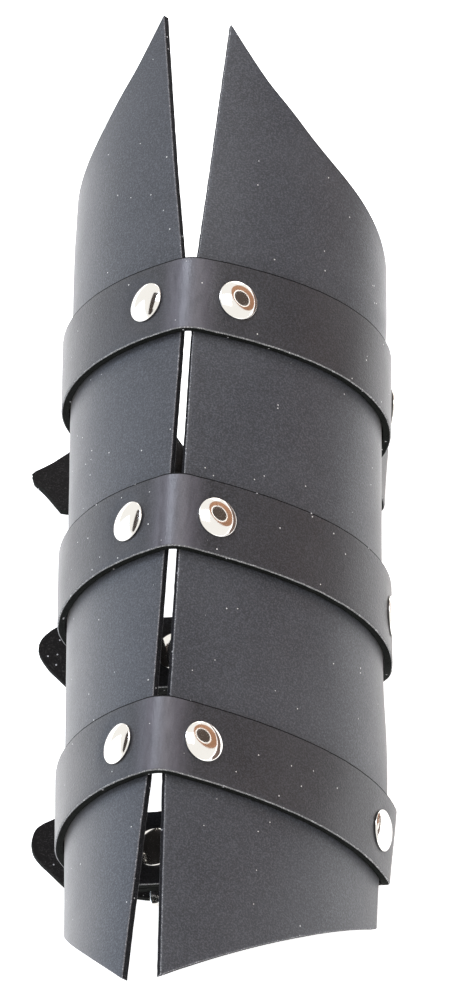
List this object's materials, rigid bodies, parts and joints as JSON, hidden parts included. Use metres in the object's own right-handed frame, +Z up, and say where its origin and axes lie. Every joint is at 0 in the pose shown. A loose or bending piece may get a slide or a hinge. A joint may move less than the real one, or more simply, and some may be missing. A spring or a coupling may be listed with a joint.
{
  "type": "leather gauntlet",
  "caption": "Leather forearm gauntlet: bent panels meet at a slit along the ridge, with pointed ends, held by riveted straps that buckle on the open underside.",
  "frame": {"origin": "centre of the bounding box at floor level, under the gauntlet as it lies on its straps", "axes": "+Z up, +Y along the forearm towards the elbow end, +X to the right when seen from the wrist end; the tongues point to -X"},
  "size_m": [0.1356, 0.3164, 0.1482],
  "materials": {
    "leather": "smooth black, satin",
    "nickel": "polished nickel plate"
  },
  "bodies": {
    "root": {"panel_left": "leather", "panel_right": "leather", "strap_elbow": "leather", "strap_middle": "leather", "strap_wrist": "leather", "buckle_elbow": "nickel", "prong_elbow": "nickel", "rivet_elbow_slit_left": "nickel", "rivet_elbow_slit_right": "nickel", "rivet_elbow_side_left": "nickel", "rivet_elbow_side_right": "nickel", "rivet_elbow_chape": "nickel", "buckle_middle": "nickel", "prong_middle": "nickel", "rivet_middle_slit_left": "nickel", "rivet_middle_slit_right": "nickel", "rivet_middle_side_left": "nickel", "rivet_middle_side_right": "nickel", "rivet_middle_chape": "nickel", "buckle_wrist": "nickel", "prong_wrist": "nickel", "rivet_wrist_slit_left": "nickel", "rivet_wrist_slit_right": "nickel", "rivet_wrist_side_left": "nickel", "rivet_wrist_side_right": "nickel", "rivet_wrist_chape": "nickel"}
  },
  "joints": []
}
